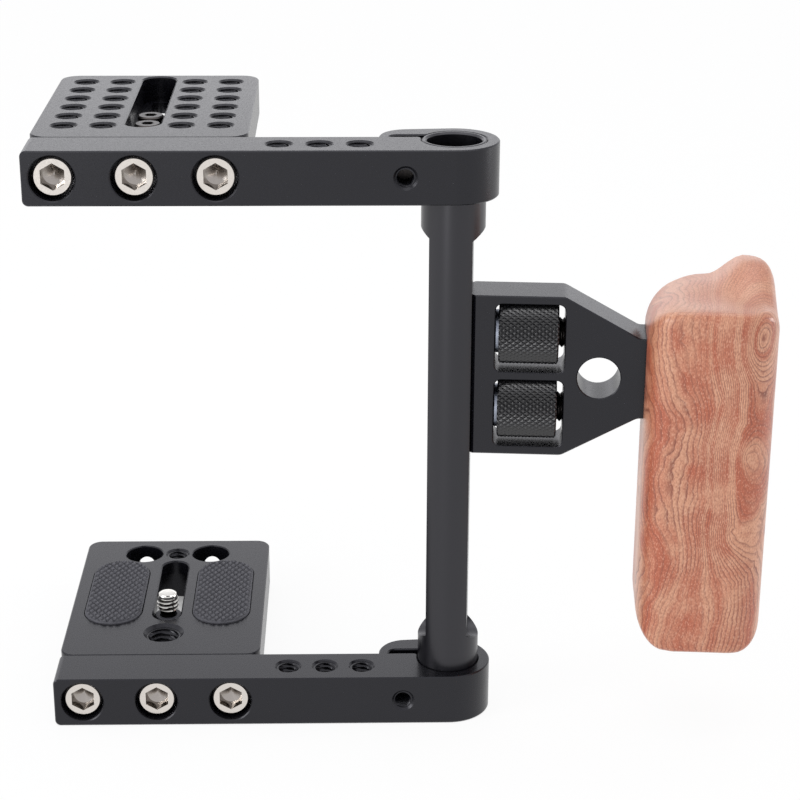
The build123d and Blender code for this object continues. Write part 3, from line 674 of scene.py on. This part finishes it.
for centre, reach, rings in knots:
    offset = tuple(-at * share for at, share in zip(centre, drawn))
    knot = add(tree, "ShaderNodeMapping", {"Vector": where, "Location": offset, "Scale": drawn})
    distance = add(tree, "ShaderNodeVectorMath", {0: knot.outputs[0]}, operation="LENGTH")
    grown_round = add(
        tree, "ShaderNodeMapRange",
        {"Value": distance.outputs[1], "From Min": reach, "From Max": 0, "To Max": rings},
    )
    count = add(
        tree, "ShaderNodeMath", {0: grown_round.outputs[0], 1: count.outputs[0]}, operation="ADD"
    )
year = add(tree, "ShaderNodeMath", {0: count.outputs[0]}, operation="FRACT")
late = add(tree, "ShaderNodeValToRGB", {0: year.outputs[0]})
for end in late.color_ramp.elements:
    end.color = (0.1, 0.1, 0.1, 1)
for place, grey in ((0.12, 0), (0.55, 0.12), (0.8, 0.6), (0.9, 1.0)):
    late.color_ramp.elements.new(place).color = (grey, grey, grey, 1)
seasons = add(tree, "ShaderNodeMath", {0: count.outputs[0], 1: 0.25}, operation="MULTIPLY")
season = add(
    tree, "ShaderNodeTexNoise", {"W": seasons.outputs[0], "Scale": 1, "Detail": 1}, noise_dimensions="1D"
)
heart = add(tree, "ShaderNodeTexNoise", {"Vector": where, "Scale": 1 / heartwood, "Detail": 3})
tone = add(tree, "ShaderNodeMath", {0: season.outputs[0], 1: heart.outputs[0]}, operation="ADD")
warm = add(tree, "ShaderNodeMapRange", {"Value": tone.outputs[0], "From Min": 0.84, "From Max": 1.24})
end_grain = add(  # the top shows fainter lines, on a more even ground
    tree, "ShaderNodeMapRange",
    {"Value": across.outputs[2], "From Min": 115, "From Max": 119, "To Min": 1.0, "To Max": 0.5},
)
warm = add(tree, "ShaderNodeMath", {0: warm.outputs[0], 1: end_grain.outputs[0]}, operation="MULTIPLY")
patch = add(tree, "ShaderNodeTexNoise", {"Vector": where, "Scale": 1 / worn_patch, "Detail": 2})
shown = add(
    tree, "ShaderNodeMapRange",
    {"Value": patch.outputs[0], "From Min": 0.36, "From Max": 0.62, "To Min": 0.35, "To Max": 1.0},
)
shown = add(tree, "ShaderNodeMath", {0: shown.outputs[0], 1: end_grain.outputs[0]}, operation="MULTIPLY")
lines = add(tree, "ShaderNodeMath", {0: late.outputs[0], 1: shown.outputs[0]}, operation="MULTIPLY")
long_pores = add(tree, "ShaderNodeMapping", {"Vector": where, "Scale": (1, 1, 0.5)})
pores = add(tree, "ShaderNodeTexNoise", {"Vector": long_pores.outputs[0], "Scale": 1 / pore, "Detail": 2})
speckle = add(
    tree, "ShaderNodeMapRange",
    {"Value": pores.outputs[0], "From Min": 0.52, "From Max": 0.72, "To Max": 0.6},
)
# painted highlight: pale flecks where the pore noise is low
painted_gleam = add(
    tree, "ShaderNodeMapRange",
    {"Value": pores.outputs[0], "From Min": 0.46, "From Max": 0.3, "To Max": 0.45},
)
figured = linear("d39878")  # pale ground, then red-brown drift, lines, pores and painted highlight
for share, colour in ((warm, "b65f3f"), (lines, "7a3a28"), (speckle, "8e4c38"), (painted_gleam, "e6b79c")):
    figured = add(
        tree, "ShaderNodeMix", {"Factor": share.outputs[0], 6: figured, 7: linear(colour)},
        data_type="RGBA",
    ).outputs[2]
tree.links.new(figured, shader.inputs["Base Color"])
pore_dents = add(
    tree, "ShaderNodeBump", {"Height": pores.outputs[0], "Strength": 0.1, "Distance": 0.1 * mm}
)
tree.links.new(pore_dents.outputs[0], shader.inputs["Normal"])

grip = new_piece("shaped_wooden_grip", shape, "post", lacquered, smooth=True)
mortise_run, mortise_level = 50.8, 97.45
mortise = (4.0, 12.1, 21.9)  # along, across and up
grip_screw_levels, through_bore, counterbore = (103.45, 91.45), (2.8, 45, 90), (5.3, 73.8, 90)
cutter = bmesh.new()
bmesh.ops.create_cube(cutter, size=1)
for vert in cutter.verts:
    run, back, level = (size * place for size, place in zip(mortise, vert.co))
    vert.co = along(mortise_run + run, back, mortise_level + level)
for level in grip_screw_levels:
    for radius, near, far in (through_bore, counterbore):
        rod_shape = [(near, 0, 0), (near, radius, 0), (far, radius, 0), (far, 0, 0)]
        turned(cutter, rod_shape, 48, 1, 0, lying(level))
        bmesh.ops.remove_doubles(cutter, verts=cutter.verts, dist=1e-7)
bmesh.ops.recalc_face_normals(cutter, faces=cutter.faces)
tool = bpy.data.objects.new("cutter", bpy.data.meshes.new("cutter"))
cutter.to_mesh(tool.data)
cutter.free()
bpy.context.collection.objects.link(tool)
cut = grip.modifiers.new("mortise_and_bores", "BOOLEAN")
cut.operation, cut.object, cut.solver, cut.use_self = "DIFFERENCE", tool, "EXACT", True
view = bpy.context.evaluated_depsgraph_get()
carved = bpy.data.meshes.new_from_object(grip.evaluated_get(view))
grip.modifiers.clear()
closed = bmesh.new()  # the cuts leave slivers, which are closed up
closed.from_mesh(carved)
bmesh.ops.remove_doubles(closed, verts=closed.verts, dist=2e-6)
bmesh.ops.dissolve_degenerate(closed, edges=closed.edges, dist=2e-6)
bmesh.ops.triangulate(closed, faces=closed.faces)
closed.to_mesh(carved)
closed.free()
grip.data = carved
bpy.data.objects.remove(tool)
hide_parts("wooden_grip")
